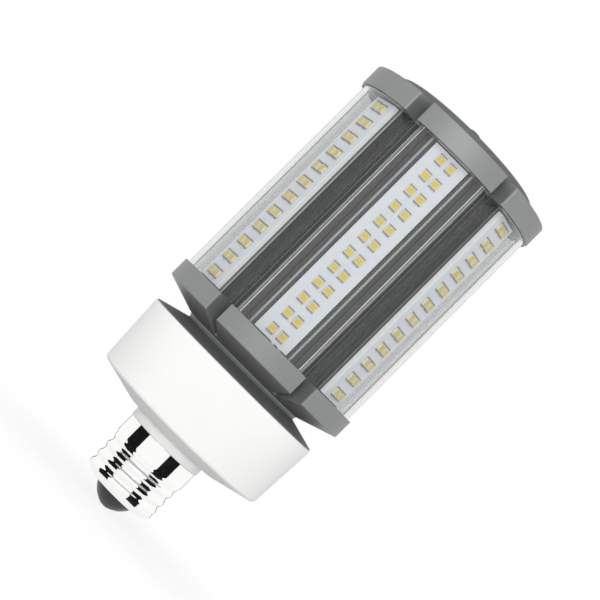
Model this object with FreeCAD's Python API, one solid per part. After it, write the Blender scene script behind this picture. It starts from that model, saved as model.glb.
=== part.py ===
import FreeCAD, Part
import math
import os

# Corn LED bulb on an Edison screw cap. Millimetres, +Z up along the lamp's axis.
# The origin is the tip of the centre contact, so every piece lies above z = 0.
# Face 1 of the six looks along -Y.

os.makedirs("parts", exist_ok=True)
Vector = FreeCAD.Vector

# Screw cap
contact_radius = 4.6
contact_drop = 1.8
contact_land = 1.5
contact_bulge = 0.25
rivet_radius = 1.1
rivet_rise = 4.0
insulator_drop = 3.6
insulator_radius = 7.85
insulator_flange = 9.9
insulator_thick = 1.8
shell_length = 21.3
shell_sheet = 0.3
shell_floor_curve = 2.8
shell_inner_curve = 1.75
skirt_radius = 13.5
skirt_length = 7.1
thread_crest_radius = 13.10
thread_depth = 0.68
thread_pitch = 25.4 / 7
thread_lead_in = 3.3
thread_run_out = 0.15
thread_root_width = 1.0
thread_groove_width = 2.7
thread_cutter_rise = 0.4
thread_start_angle = 90.0

# White driver housing
collar_height = 3.3
collar_overhang = 0.38
housing_wall = 1.8
base_flat_radius = 18.3
base_cone_rise = 3.6
housing_wall_height = 23.6
housing_rim_radius = 33.7
housing_draft = 3.15
spigot_length = 7.1
spigot_wall = 1.8
housing_shoulder_round = 1.2
boss_radius = 3.0
boss_sink = 0.5

# Dark lid of the housing, which ends in the neck
lid_rim_inset = 0.5
lid_rim_edge = 0.3
lid_cone_rise = 2.8
lid_wall = 1.6
lid_corner_drop = 0.8
lid_spigot_depth = 5.0
neck_height = 0.7
neck_plate = 2.2
neck_rim = 0.4
wire_hole_radius = 7.0

# Clear covers
lobe_count = 6
screwed_ports = (0, 2, 4)
cover_width = 27.2
cover_wall = 1.2
cover_depth = 7.2
cover_corner = 1.6
cover_inner_corner = 0.4
cover_hook = 0.9
cover_hook_height = 1.1

# Extruded heat sink
led_section_length = 77.2
flank_height = 1.45
valley_radius = 0.7
sink_wall = 1.8
shoulder_thick = 0.6
lip_width = 0.8
lip_rise = 0.9
lip_offset = 1.2
shelf_groove = 0.5
port_outer_radius = 3.0
port_web = 1.1
port_sink = 0.6
fin_thick = 1.4
fin_length = 6.0

# LED boards
board_width = 13.0
board_thick = 1.2
board_end_gap = 0.3
led_length = 3.5
led_width = 2.8
led_height = 0.8
led_mark = 0.5
led_column_pitch = 4.0
led_row_pitch = 6.4
led_headroom = 0.4

# End frames
frame_overhang = 2.1
frame_proud = 1.05
frame_corner = 0.8
frame_foot = 0.7
frame_foot_step = 0.3
frame_under_step = 0.6
frame_under_rise = 4.1
frame_floor = 2.6
lower_facet_height = 6.6
upper_facet_height = 7.2
notch_step = 0.7
notch_root_step = 1.0
notch_root_half = 0.5

# Top lid
top_lid_margin = 0.2
top_lid_rise = 3.0
top_lid_dome = 1.9
top_lid_wall = 1.8
top_lid_edge = 0.6
top_lid_spigot = 2.0
top_boss_radius = 4.0
top_boss_skin = 1.0

# Screws: M3 for the frames and the top, smaller ones for the driver board
screw_radius = 1.45
screw_head_radius = 2.8
screw_head_height = 2.4
screw_bite = 8.0
screw_tip_gap = 1.0
screw_crown_share = 0.45
board_screw_radius = 1.1
board_screw_head = 2.4
board_screw_head_height = 1.7
board_screw_bite = 4.0

# Driver board and its transformer
driver_board_thick = 1.6
driver_board_margin = 4.9
driver_screw_margin = 5.0
driver_screw_angles = (0, 120, 240)
transformer_height = 14.0
transformer_width = 18.0
transformer_depth = 12.0
transformer_leg = 4.0
transformer_side_leg = 3.0
transformer_yoke = 2.0
transformer_centre = -9.0
coil_gap = 0.6
coil_corner = 2.0

# Round components on the driver board: radius, height and direction from the axis
input_capacitor_radius = 5.0
input_capacitor_height = 13.5
input_capacitor_angle = 50
output_capacitor_radius = 4.0
output_capacitor_height = 12.0
output_capacitor_angle = -42
choke_radius = 4.0
choke_height = 9.0
choke_angle = 92
can_edge = 0.5

# Square components, the last three under the board
filter_capacitor_width = 10.0
filter_capacitor_depth = 4.5
filter_capacitor_height = 10.0
filter_capacitor_angle = -88
fuse_width = 7.5
fuse_depth = 3.6
fuse_height = 7.5
rectifier_width = 6.0
rectifier_depth = 4.4
rectifier_height = 2.5
rectifier_angle = -60
controller_width = 5.0
controller_depth = 4.0
controller_height = 1.6
controller_angle = 150
transistor_width = 6.0
transistor_depth = 6.2
transistor_height = 2.3
transistor_angle = 60
underside_circle = 10.0
component_edge = 0.3
component_inset = 1.5

# Wires
wire_radius = 0.7
wire_pair_gap = 2.6
wire_exit = 2.5
wire_slot_floor = 0.6
wire_wall_gap = 1.5
line_wire_start = 6.0
neutral_bend_above = 1.0
neutral_bend_below = 3.0
neutral_joint_length = 4.0

# Clearances, each named for the fit it makes
slip_gap = 0.15
snap_gap = 0.1
screw_gap = 0.05
hole_gap = 0.2
wire_gap = 0.05
fuse_gap = 0.4
cover_end_gap = 0.2
head_room = 1.3

# Heights of the stack, from the contact tip up
z_shell_floor = contact_drop + insulator_drop
z_shell_top = z_shell_floor + shell_length
z_skirt = z_shell_top - skirt_length
z_housing_base = z_shell_top + collar_height
z_shoulder = z_housing_base + base_cone_rise
z_rim = z_shoulder + housing_wall_height
z_cone_foot = z_rim + lid_rim_edge
z_cone_top = z_cone_foot + lid_cone_rise
z_neck_top = z_cone_top + neck_height
z_plate_under = z_neck_top - neck_plate
z_frame_under = z_neck_top + frame_foot
z_lower_facets = z_frame_under + frame_under_rise
z_led_bottom = z_lower_facets + lower_facet_height
z_led_top = z_led_bottom + led_section_length
z_frame_top = z_led_top + upper_facet_height
z_lid_rim = z_frame_top + top_lid_rise
z_lid_crown = z_lid_rim + top_lid_dome
z_driver_top = z_plate_under - screw_head_height - head_room - transformer_height
z_driver_under = z_driver_top - driver_board_thick

# Distances from the axis, measured square to a face
half_sector = 180.0 / lobe_count
cover_half = cover_width / 2
flank_foot = cover_half / math.tan(math.radians(half_sector))
groove_floor = flank_foot + flank_height
cover_foot = groove_floor + snap_gap
cover_face = cover_foot + cover_depth
board_face = cover_face - cover_wall - led_headroom - led_height
seat_face = board_face - board_thick
lip_top = board_face + lip_rise
shoulder_under = cover_foot + cover_hook_height + snap_gap
shelf_face = shoulder_under + shoulder_thick
facet_half = cover_half + frame_overhang

# Radii that follow from them
cover_radius = math.hypot(cover_half, cover_face)
frame_radius = cover_radius + frame_proud
valley_floor = cover_half / math.sin(math.radians(half_sector)) + valley_radius
inner_apex = (cover_half - sink_wall) / math.sin(math.radians(half_sector))
port_circle = inner_apex - port_outer_radius - port_web
pocket_radius = port_circle + port_outer_radius - port_sink
neck_radius = port_circle + screw_head_radius + neck_rim
foot_radius = neck_radius + frame_foot_step
under_radius = foot_radius + frame_under_step
notch_root = under_radius + notch_root_step
notch_floor = valley_floor + notch_step
top_lid_radius = notch_floor - top_lid_margin
recess_radius = top_lid_radius - top_lid_wall - slip_gap
collar_radius = skirt_radius + collar_overhang
skirt_bore = skirt_radius - shell_sheet
thread_bore = thread_crest_radius - thread_depth - shell_sheet
spigot_radius = skirt_bore - slip_gap
spigot_bore = spigot_radius - spigot_wall
shoulder_radius = housing_rim_radius - housing_wall_height * math.tan(math.radians(housing_draft))
lid_rim_radius = housing_rim_radius - lid_rim_inset


def housing_bore(z):
    """Inside radius of the tapered housing wall at height z."""
    return housing_rim_radius - housing_wall - (z_rim - z) * math.tan(math.radians(housing_draft))


driver_board_radius = housing_bore(z_driver_under) - driver_board_margin
driver_screw_circle = driver_board_radius - driver_screw_margin
coil_window = (transformer_width - transformer_leg) / 2 - transformer_side_leg


def save(name, shape):
    shape.exportStep("parts/" + name + ".step")


def polar(radius, angle, z=0.0):
    turn = math.radians(angle)
    return Vector(radius * math.cos(turn), radius * math.sin(turn), z)


def corner_arc(before, corner, after, radius):
    """Start, middle and end of the arc that rounds one corner of an outline."""
    way_in = (before - corner).normalize()
    way_out = (after - corner).normalize()
    half_angle = way_in.getAngle(way_out) / 2
    reach = radius / math.tan(half_angle)
    middle_way = (way_in + way_out).normalize()
    middle = corner + middle_way * (radius / math.sin(half_angle) - radius)
    return corner + way_in * reach, middle, corner + way_out * reach


def outline(points):
    """Closed wire through (point, corner radius) pairs.

    A corner radius of 0 leaves the corner sharp. None marks a point that an arc passes
    through, from the point before it to the point after it.
    """
    count = len(points)
    stops = []
    for i, (corner, radius) in enumerate(points):
        if radius:
            stops.append(corner_arc(points[i - 1][0], corner, points[(i + 1) % count][0], radius))
        else:
            stops.append((corner,))
    edges = []
    for i, stop in enumerate(stops):
        if points[i][1] is None:
            continue
        if len(stop) == 3:
            edges.append(Part.Arc(*stop).toShape())
        follower = (i + 1) % count
        if points[follower][1] is None:
            end = stops[(follower + 1) % count][0]
            edges.append(Part.Arc(stop[-1], points[follower][0], end).toShape())
        elif stop[-1].distanceToPoint(stops[follower][0]) > 1e-6:
            edges.append(Part.LineSegment(stop[-1], stops[follower][0]).toShape())
    return Part.Wire(edges)


def revolve(profile):
    """Solid of revolution about the axis from (radius, z) or (radius, z, corner) points."""
    points = [(Vector(p[0], 0, p[1]), p[2] if len(p) > 2 else 0) for p in profile]
    return Part.Face(outline(points)).revolve(Vector(), Vector(0, 0, 1), 360)


def prism(points, z_low, z_high):
    """Upright solid over an outline of (point, corner radius) pairs at z = 0."""
    face = Part.Face(outline(points))
    face.translate(Vector(0, 0, z_low))
    return face.extrude(Vector(0, 0, z_high - z_low))


def lobe_point(offset, distance, lobe=0):
    """Point at a sideways offset and a distance from the axis, in the plane of one lobe."""
    turn = math.radians(-90 + lobe * 360 / lobe_count)
    x = distance * math.cos(turn) - offset * math.sin(turn)
    y = distance * math.sin(turn) + offset * math.cos(turn)
    return Vector(x, y, 0)


def round_the_lobes(half_outline, between=None):
    """Full outline from one lobe's half outline, each point (offset, distance, corner).

    The point between, where there is one, stands once in the valley after each lobe.
    """
    points = []
    for lobe in range(lobe_count):
        points += [(lobe_point(-t, n, lobe), corner) for t, n, corner in reversed(half_outline)]
        points += [(lobe_point(t, n, lobe), corner) for t, n, corner in half_outline]
        if between:
            points.append((lobe_point(between[0], between[1], lobe), between[2]))
    return points


def valley_angle(i):
    """Direction of the valley after lobe i."""
    return -90 + half_sector + i * 360 / lobe_count


def cylinder(radius, z_low, z_high, centre=Vector()):
    return Part.makeCylinder(radius, z_high - z_low, centre + Vector(0, 0, z_low))


def box(width, depth, height, centre, z_low):
    return Part.makeBox(width, depth, height, centre + Vector(-width / 2, -depth / 2, z_low))


def on_lobe(shape, lobe):
    """Copy of a shape built on lobe 0, turned to another lobe."""
    copy = shape.copy()
    copy.rotate(Vector(), Vector(0, 0, 1), lobe * 360 / lobe_count)
    return copy


def wire(route, radius):
    """Insulated wire: straight runs joined by arcs as large as the runs allow."""
    edges = []
    start = route[0]
    for before, corner, after in zip(route, route[1:], route[2:]):
        run = min(before.distanceToPoint(corner), corner.distanceToPoint(after))
        half_turn = (math.pi - (before - corner).getAngle(after - corner)) / 2
        arc = corner_arc(before, corner, after, 0.45 * run / math.tan(half_turn))
        edges.append(Part.LineSegment(start, arc[0]).toShape())
        edges.append(Part.Arc(*arc).toShape())
        start = arc[2]
    edges.append(Part.LineSegment(start, route[-1]).toShape())
    section = Part.Wire(Part.makeCircle(radius, route[0], route[1] - route[0]))
    return Part.Wire(edges).makePipeShell([section], True, False)


def pan_screw(radius, length, head_radius, head_height):
    """Screw with a sloping edge to its head, which lies below z = 0, and its shank above."""
    crown = head_height * screw_crown_share
    return revolve([(0, -head_height), (head_radius - crown, -head_height),
                    (head_radius, crown - head_height), (head_radius, 0),
                    (radius, 0), (radius, length), (0, length)])


# Screw cap pieces


def centre_contact():
    """Domed button, riveted through the insulator."""
    dome_radius = (contact_radius + contact_land) / 2 + contact_bulge
    dome_z = contact_drop / 2 - contact_bulge
    rivet_top = z_shell_floor + rivet_rise
    return revolve([
        (0, 0), (contact_land, 0), (dome_radius, dome_z, None), (contact_radius, contact_drop),
        (rivet_radius, contact_drop), (rivet_radius, rivet_top), (0, rivet_top),
    ])


def cap_insulator():
    """Black cone below the shell, with a flange that rests on the shell's turned-in floor."""
    z_flange = z_shell_floor + shell_sheet
    bore = rivet_radius + screw_gap
    return revolve([
        (bore, contact_drop), (contact_radius, contact_drop), (insulator_radius, z_shell_floor),
        (insulator_radius, z_flange), (insulator_flange, z_flange),
        (insulator_flange, z_flange + insulator_thick), (bore, z_flange + insulator_thick),
    ])


def thread_groove():
    """Helical groove with sloping flanks, which leaves the rolled thread standing."""
    z_start = z_shell_floor + thread_lead_in
    z_end = z_skirt - thread_groove_width / 2 - thread_run_out
    root = thread_crest_radius - thread_depth
    mouth = thread_crest_radius + thread_cutter_rise
    flank_spread = (thread_groove_width - thread_root_width) / 2
    mouth_half = thread_groove_width / 2 + flank_spread * thread_cutter_rise / thread_depth
    corners = [Vector(root, 0, -thread_root_width / 2), Vector(mouth, 0, -mouth_half),
               Vector(mouth, 0, mouth_half), Vector(root, 0, thread_root_width / 2)]
    section = Part.Wire(Part.makePolygon(corners + corners[:1]))
    helix = Part.Wire(Part.makeHelix(thread_pitch, z_end - z_start, thread_crest_radius))
    groove = helix.makePipeShell([section], True, True)
    groove.rotate(Vector(), Vector(0, 0, 1), thread_start_angle)
    groove.translate(Vector(0, 0, z_start))
    return groove


def screw_shell():
    """Rolled sheet cap: turned-in floor, thread and plain skirt."""
    floor_hole = insulator_radius + snap_gap
    blank = revolve([
        (floor_hole, z_shell_floor), (thread_crest_radius, z_shell_floor, shell_floor_curve),
        (thread_crest_radius, z_skirt), (skirt_radius, z_skirt), (skirt_radius, z_shell_top),
        (skirt_bore, z_shell_top), (skirt_bore, z_skirt), (thread_bore, z_skirt),
        (thread_bore, z_shell_floor + shell_sheet, shell_inner_curve),
        (floor_hole, z_shell_floor + shell_sheet),
    ])
    return blank.cut(thread_groove())


# White housing


def driver_housing():
    """Moulded shell with a spigot for the screw cap and three bosses for the driver board."""
    spigot_foot = z_shell_top - spigot_length
    inner_floor = z_housing_base + housing_wall
    shell = revolve([
        (spigot_bore, spigot_foot), (spigot_radius, spigot_foot), (spigot_radius, z_shell_top),
        (collar_radius, z_shell_top), (collar_radius, z_housing_base),
        (base_flat_radius, z_housing_base), (shoulder_radius, z_shoulder, housing_shoulder_round),
        (housing_rim_radius, z_rim), (housing_rim_radius - housing_wall, z_rim),
        (housing_bore(z_shoulder + housing_wall), z_shoulder + housing_wall),
        (base_flat_radius, inner_floor), (spigot_bore, inner_floor),
    ])
    z_pilot = z_driver_under - board_screw_bite - screw_tip_gap
    for angle in driver_screw_angles:
        centre = polar(driver_screw_circle, angle)
        shell = shell.fuse(cylinder(boss_radius, inner_floor - boss_sink, z_driver_under, centre))
        shell = shell.cut(cylinder(board_screw_radius + screw_gap, z_pilot, z_driver_under, centre))
    return shell.removeSplitter()


def housing_lid():
    """Dark cone that closes the housing; its neck carries the lower frame."""
    spigot_foot = z_rim - lid_spigot_depth
    wall_under = z_rim - lid_corner_drop
    lid = revolve([
        (wire_hole_radius, z_plate_under), (wire_hole_radius, z_neck_top),
        (neck_radius, z_neck_top), (neck_radius, z_cone_top), (lid_rim_radius, z_cone_foot),
        (lid_rim_radius, z_rim), (housing_bore(z_rim) - slip_gap, z_rim),
        (housing_bore(spigot_foot) - slip_gap, spigot_foot),
        (housing_bore(spigot_foot) - slip_gap - lid_wall, spigot_foot),
        (housing_bore(z_rim) - slip_gap - lid_wall, wall_under), (neck_radius, z_plate_under),
    ])
    for i in screwed_ports:
        centre = polar(port_circle, valley_angle(i))
        lid = lid.cut(cylinder(screw_radius + hole_gap, z_plate_under, z_neck_top, centre))
    return lid


# End frames


def round_upright_edges(shape, distance, radius):
    """Shape with the upright edges that lie at one distance from the axis rounded."""
    edges = []
    for edge in shape.Edges:
        ends = [vertex.Point for vertex in edge.Vertexes]
        upright = len(ends) == 2 and math.hypot(ends[0].x - ends[1].x, ends[0].y - ends[1].y) < 1e-6
        if upright and abs(math.hypot(ends[0].x, ends[0].y) - distance) < 1e-3:
            edges.append(edge)
    return shape.makeFillet(radius, edges)


def notched_disc(z_low, z_high, floor):
    """Disc whose rim stands in six arched faces, with a notch between each two.

    The walls of a notch run from the rim towards its root and end at a flat floor.
    """
    rim = polar(frame_radius, half_sector - math.degrees(math.asin(facet_half / frame_radius)))
    taper = (rim.y - notch_root_half) / (rim.x - notch_root)
    floor_half = notch_root_half + (floor - notch_root) * taper
    mouth = rim + Vector(frame_radius, frame_radius * taper, 0)
    corners = [Vector(floor, -floor_half, 0), Vector(mouth.x, -mouth.y, 0), mouth,
               Vector(floor, floor_half, 0)]
    notch = prism([(corner, 0) for corner in corners], z_low, z_high)
    body = cylinder(frame_radius, z_low, z_high)
    for i in range(lobe_count):
        cut = notch.copy()
        cut.rotate(Vector(), Vector(0, 0, 1), valley_angle(i))
        body = body.cut(cut)
    return round_upright_edges(body, frame_radius, frame_corner)


def lower_end_frame():
    """Notched disc with a conical underside, a pocket, three screw bosses and a slot for the wires."""
    foot = cylinder(foot_radius, z_neck_top, z_frame_under)
    slope = Part.makeCone(under_radius, frame_radius, frame_under_rise, Vector(0, 0, z_frame_under))
    body = notched_disc(z_frame_under, z_lower_facets, notch_root).common(slope)
    body = body.fuse([foot, notched_disc(z_lower_facets, z_led_bottom, notch_root)])
    z_floor = z_neck_top + frame_floor
    body = body.cut(cylinder(pocket_radius, z_floor, z_led_bottom))
    ports = [polar(port_circle, valley_angle(i)) for i in screwed_ports]
    body = body.fuse([cylinder(port_outer_radius, z_floor, z_led_bottom, port) for port in ports])
    holes = [cylinder(screw_radius + hole_gap, z_neck_top, z_led_bottom, port) for port in ports]
    holes.append(cylinder(wire_hole_radius, z_neck_top, z_floor))
    slot_width = wire_pair_gap + 2 * wire_radius + 2 * wire_slot_floor
    slot_end = seat_face + board_thick + wire_slot_floor
    slot_depth = 2 * (wire_radius + wire_slot_floor)
    slot = box(slot_width, slot_end, slot_depth, Vector(wire_exit, -slot_end / 2, 0),
               z_led_bottom - slot_depth)
    return body.cut(holes + [slot]).removeSplitter()


def upper_end_frame():
    """Notched disc with a floor on the extrusion and a round recess above it for the screw heads."""
    z_floor = z_led_top + frame_floor
    body = notched_disc(z_led_top, z_frame_top, notch_floor)
    body = body.cut(cylinder(recess_radius, z_floor, z_frame_top))
    body = body.fuse(cylinder(top_boss_radius, z_floor, z_frame_top))
    holes = [cylinder(screw_radius + hole_gap, z_led_top, z_floor, polar(port_circle, valley_angle(i)))
             for i in screwed_ports]
    holes.append(cylinder(screw_radius + screw_gap, z_led_top + top_boss_skin, z_frame_top))
    return body.cut(holes).removeSplitter()


# Heat sink, boards, LEDs and covers


def heat_sink():
    """Extrusion with six lobes: seat, lips, shelf and a groove for the cover's hooks."""
    wall_inner = cover_half - cover_wall
    hook_tip = wall_inner - cover_hook
    board_half = board_width / 2
    lip_inner = board_half + lip_offset
    lip_outer = lip_inner + lip_width
    groove_at = (lip_outer + hook_tip) / 2
    outer = [
        (lip_inner, seat_face, 0), (lip_inner, lip_top, 0), (lip_outer, lip_top, 0),
        (lip_outer, shelf_face, 0), (groove_at - shelf_groove / 2, shelf_face, 0),
        (groove_at, shelf_face - shelf_groove, 0), (groove_at + shelf_groove / 2, shelf_face, 0),
        (wall_inner - snap_gap, shelf_face, 0), (wall_inner - snap_gap, shoulder_under, 0),
        (hook_tip - snap_gap, shoulder_under, 0), (hook_tip - snap_gap, groove_floor, 0),
        (cover_half, groove_floor, 0),
    ]
    valley = (cover_half, flank_foot, valley_radius)
    body = prism(round_the_lobes(outer, valley), z_led_bottom, z_led_top)
    inner_half = cover_half - sink_wall
    groove_back = groove_floor - sink_wall
    seat_back = seat_face - sink_wall
    inner = [(lip_inner - sink_wall, seat_back, 0), (hook_tip - sink_wall, groove_back, 0),
             (inner_half, groove_back, 0)]
    inner_valley = (inner_half, inner_half / math.tan(math.radians(half_sector)), 0)
    body = body.cut(prism(round_the_lobes(inner, inner_valley), z_led_bottom, z_led_top))
    web_length = inner_apex + fin_thick - port_circle
    added = []
    bores = []
    for i in range(lobe_count):
        centre = polar(port_circle, valley_angle(i))
        added.append(cylinder(port_outer_radius, z_led_bottom, z_led_top, centre))
        bores.append(cylinder(screw_radius + screw_gap, z_led_bottom, z_led_top, centre))
        web = Part.makeBox(web_length, fin_thick, led_section_length,
                           Vector(port_circle, -fin_thick / 2, z_led_bottom))
        web.rotate(Vector(), Vector(0, 0, 1), valley_angle(i))
        added.append(web)
        fin_centre = Vector(0, -(seat_back + sink_wall / 2 - fin_length / 2), 0)
        added.append(on_lobe(box(fin_thick, fin_length, led_section_length, fin_centre, z_led_bottom), i))
    return body.fuse(added).cut(bores).removeSplitter()


def led_board():
    """White board on the seat of lobe 0."""
    centre = Vector(0, -(seat_face + board_thick / 2), 0)
    length = led_section_length - 2 * board_end_gap
    return box(board_width, board_thick, length, centre, z_led_bottom + board_end_gap)


def led_packages():
    """Two columns of packages on the board, each with one corner cut as its polarity mark."""
    board_length = led_section_length - 2 * board_end_gap
    rows = int((board_length - led_length) / led_row_pitch) + 1
    z_middle = z_led_bottom + led_section_length / 2
    half_width = led_width / 2
    half_length = led_length / 2
    corners = [Vector(-half_width, 0, -half_length), Vector(half_width, 0, -half_length),
               Vector(half_width, 0, half_length - led_mark),
               Vector(half_width - led_mark, 0, half_length), Vector(-half_width, 0, half_length)]
    face = Part.Face(Part.makePolygon(corners + corners[:1]))
    package = face.extrude(Vector(0, -led_height, 0))
    solids = []
    for row in range(rows):
        z = z_middle + (row - (rows - 1) / 2) * led_row_pitch
        for side in (-1, 1):
            copy = package.copy()
            copy.translate(Vector(side * led_column_pitch / 2, -board_face, z))
            solids.append(copy)
    return Part.makeCompound(solids)


def arched_block(half, foot, radius, corner, z_high):
    """Block of lobe 0 from a flat foot to a face that arches about the axis."""
    block = Part.makeBox(2 * half, radius - foot, z_high - z_led_bottom,
                         Vector(-half, -radius, z_led_bottom))
    return round_upright_edges(block.common(cylinder(radius, z_led_bottom, z_high)), radius, corner)


def lens_cover():
    """Clear channel with an arched face and a hook along the foot of each wall."""
    z_high = z_led_top - cover_end_gap
    inner = cover_half - cover_wall
    hook_tip = inner - cover_hook
    hook_top = cover_foot + cover_hook_height
    body = arched_block(cover_half, cover_foot, cover_radius, cover_corner, z_high)
    hollow = arched_block(inner, hook_top, cover_radius - cover_wall, cover_inner_corner, z_high)
    mouth = Part.makeBox(2 * hook_tip, cover_hook_height, z_high - z_led_bottom,
                         Vector(-hook_tip, -hook_top, z_led_bottom))
    return body.cut(hollow).cut(mouth)


# Top lid


def top_lid():
    """Round raised lid with a shallow dome, a spigot in the frame's recess and a centre boss."""
    spigot = recess_radius - slip_gap
    spigot_inner = spigot - top_lid_wall
    z_spigot = z_frame_top - top_lid_spigot
    hole = screw_radius + hole_gap
    dome_foot = top_lid_radius - top_lid_edge
    ball_z = (hole ** 2 - dome_foot ** 2) / (2 * top_lid_dome) + (z_lid_crown + z_lid_rim) / 2
    ball_radius = math.hypot(hole, z_lid_crown - ball_z)
    dome_middle = (hole + dome_foot) / 2
    z_middle = ball_z + math.sqrt(ball_radius ** 2 - dome_middle ** 2)
    return revolve([
        (hole, z_frame_top), (top_boss_radius, z_frame_top),
        (top_boss_radius, z_lid_crown - top_lid_wall), (spigot_inner, z_lid_rim - top_lid_wall),
        (spigot_inner, z_spigot), (spigot, z_spigot), (spigot, z_frame_top),
        (top_lid_radius, z_frame_top), (top_lid_radius, z_lid_rim - top_lid_edge),
        (dome_foot, z_lid_rim), (dome_middle, z_middle, None), (hole, z_lid_crown),
    ])


# Screws


def top_screw():
    """Pan head screw through the lid into the upper frame's boss."""
    length = z_lid_crown - z_led_top - top_boss_skin - screw_tip_gap
    screw = pan_screw(screw_radius, length, screw_head_radius, screw_head_height)
    screw.rotate(Vector(), Vector(1, 0, 0), 180)
    screw.translate(Vector(0, 0, z_lid_crown))
    return screw


def upper_frame_screws():
    """Three screws down through the upper frame into the extrusion's ports."""
    screw = pan_screw(screw_radius, frame_floor + screw_bite, screw_head_radius, screw_head_height)
    screw.rotate(Vector(), Vector(1, 0, 0), 180)
    screws = []
    for i in screwed_ports:
        copy = screw.copy()
        copy.translate(polar(port_circle, valley_angle(i), z_led_top + frame_floor))
        screws.append(copy)
    return Part.makeCompound(screws)


def lower_frame_screws():
    """Three long screws up through the lid's neck and the lower frame into the ports."""
    screw = pan_screw(screw_radius, z_led_bottom + screw_bite - z_plate_under,
                      screw_head_radius, screw_head_height)
    screws = []
    for i in screwed_ports:
        copy = screw.copy()
        copy.translate(polar(port_circle, valley_angle(i), z_plate_under))
        screws.append(copy)
    return Part.makeCompound(screws)


def driver_screws():
    """Three screws that hold the driver board on the housing's bosses."""
    length = driver_board_thick + board_screw_bite
    screw = pan_screw(board_screw_radius, length, board_screw_head, board_screw_head_height)
    screw.rotate(Vector(), Vector(1, 0, 0), 180)
    screws = []
    for angle in driver_screw_angles:
        copy = screw.copy()
        copy.translate(polar(driver_screw_circle, angle, z_driver_top))
        screws.append(copy)
    return Part.makeCompound(screws)


# Driver board and its components


def driver_board():
    """Round board with three screw holes."""
    board = cylinder(driver_board_radius, z_driver_under, z_driver_top)
    holes = [cylinder(board_screw_radius + hole_gap, z_driver_under, z_driver_top,
                      polar(driver_screw_circle, angle)) for angle in driver_screw_angles]
    return board.cut(holes)


def transformer_core():
    """Two-window ferrite core."""
    centre = Vector(transformer_centre, 0, 0)
    core = box(transformer_width, transformer_depth, transformer_height, centre, z_driver_top)
    window_height = transformer_height - 2 * transformer_yoke
    windows = []
    for side in (-1, 1):
        at = centre + Vector(side * (transformer_leg + coil_window) / 2, 0, 0)
        windows.append(box(coil_window, transformer_depth, window_height, at,
                           z_driver_top + transformer_yoke))
    return core.cut(windows)


def transformer_coil():
    """Wound bobbin round the core's middle leg."""
    wall = coil_window - coil_gap
    height = transformer_height - 2 * transformer_yoke - 2 * slip_gap
    width = transformer_leg + 2 * wall
    depth = transformer_depth + 2 * wall
    z_low = z_driver_top + transformer_yoke + slip_gap
    centre = Vector(transformer_centre, 0, 0)
    coil = box(width, depth, height, centre, z_low)
    upright = [edge for edge in coil.Edges if abs(edge.tangentAt(0).z) > 0.9]
    coil = coil.makeFillet(coil_corner, upright)
    return coil.cut(box(transformer_leg + 2 * slip_gap, transformer_depth + 2 * slip_gap,
                        height, centre, z_low))


def can(radius, height, angle):
    """Round component with a bevelled top, near the edge of the driver board."""
    centre = polar(driver_board_radius - component_inset - radius, angle)
    shape = cylinder(radius, z_driver_top, z_driver_top + height, centre)
    top = [edge for edge in shape.Edges if edge.BoundBox.ZMin > z_driver_top + height / 2]
    return shape.makeChamfer(can_edge, top)


def brick(width, depth, height, centre):
    """Square component with a bevelled top, standing on the driver board."""
    shape = box(width, depth, height, centre, z_driver_top)
    top = [edge for edge in shape.Edges if edge.BoundBox.ZMin > z_driver_top + height / 2]
    return shape.makeChamfer(component_edge, top)


def flat_chip(width, depth, height, angle):
    """Surface-mounted component under the driver board."""
    shape = box(width, depth, height, polar(underside_circle, angle), z_driver_under - height)
    low = [edge for edge in shape.Edges if edge.BoundBox.ZMax < z_driver_under - height / 2]
    return shape.makeChamfer(component_edge, low)


def filter_capacitor():
    """Film capacitor across the edge of the board."""
    distance = driver_board_radius - component_inset - filter_capacitor_depth
    return brick(filter_capacitor_width, filter_capacitor_depth, filter_capacitor_height,
                 polar(distance, filter_capacitor_angle))


def fuse():
    """Moulded fuse between the wires and the first driver screw."""
    reach = driver_screw_circle - board_screw_head - fuse_gap - fuse_width / 2
    return brick(fuse_width, fuse_depth, fuse_height, Vector(reach, 0, 0))


def line_wire():
    """From the middle of the driver board down to the rivet of the centre contact."""
    rivet_top = z_shell_floor + rivet_rise
    drop = z_driver_under - rivet_top
    route = [Vector(line_wire_start, 0, z_driver_under),
             Vector(line_wire_start, 0, z_driver_under - drop / 4),
             Vector(0, 0, z_driver_under - drop / 2), Vector(0, 0, rivet_top)]
    return wire(route, wire_radius)


def neutral_wire():
    """From the driver board down to its solder joint on the inside of the screw shell."""
    end_radius = thread_bore - wire_radius - wire_gap
    start_radius = spigot_bore - wire_radius - wire_wall_gap
    spigot_foot = z_shell_top - spigot_length
    z_bend = spigot_foot - neutral_bend_below
    route = [Vector(-start_radius, 0, z_driver_under),
             Vector(-start_radius, 0, spigot_foot + neutral_bend_above),
             Vector(-end_radius, 0, z_bend), Vector(-end_radius, 0, z_bend - neutral_joint_length)]
    return wire(route, wire_radius)


def output_wires():
    """Two wires from the driver board through the neck to the end of the first LED board."""
    reach = seat_face + wire_radius + wire_gap
    z_slot = z_led_bottom - wire_radius - wire_slot_floor
    wires = []
    for side in (-1, 1):
        x = wire_exit + side * wire_pair_gap / 2
        route = [Vector(x, 0, z_driver_top), Vector(x, 0, z_slot), Vector(x, -reach, z_slot),
                 Vector(x, -reach, z_led_bottom + board_end_gap)]
        wires.append(wire(route, wire_radius))
    return Part.makeCompound(wires)


# Write every piece

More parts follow.
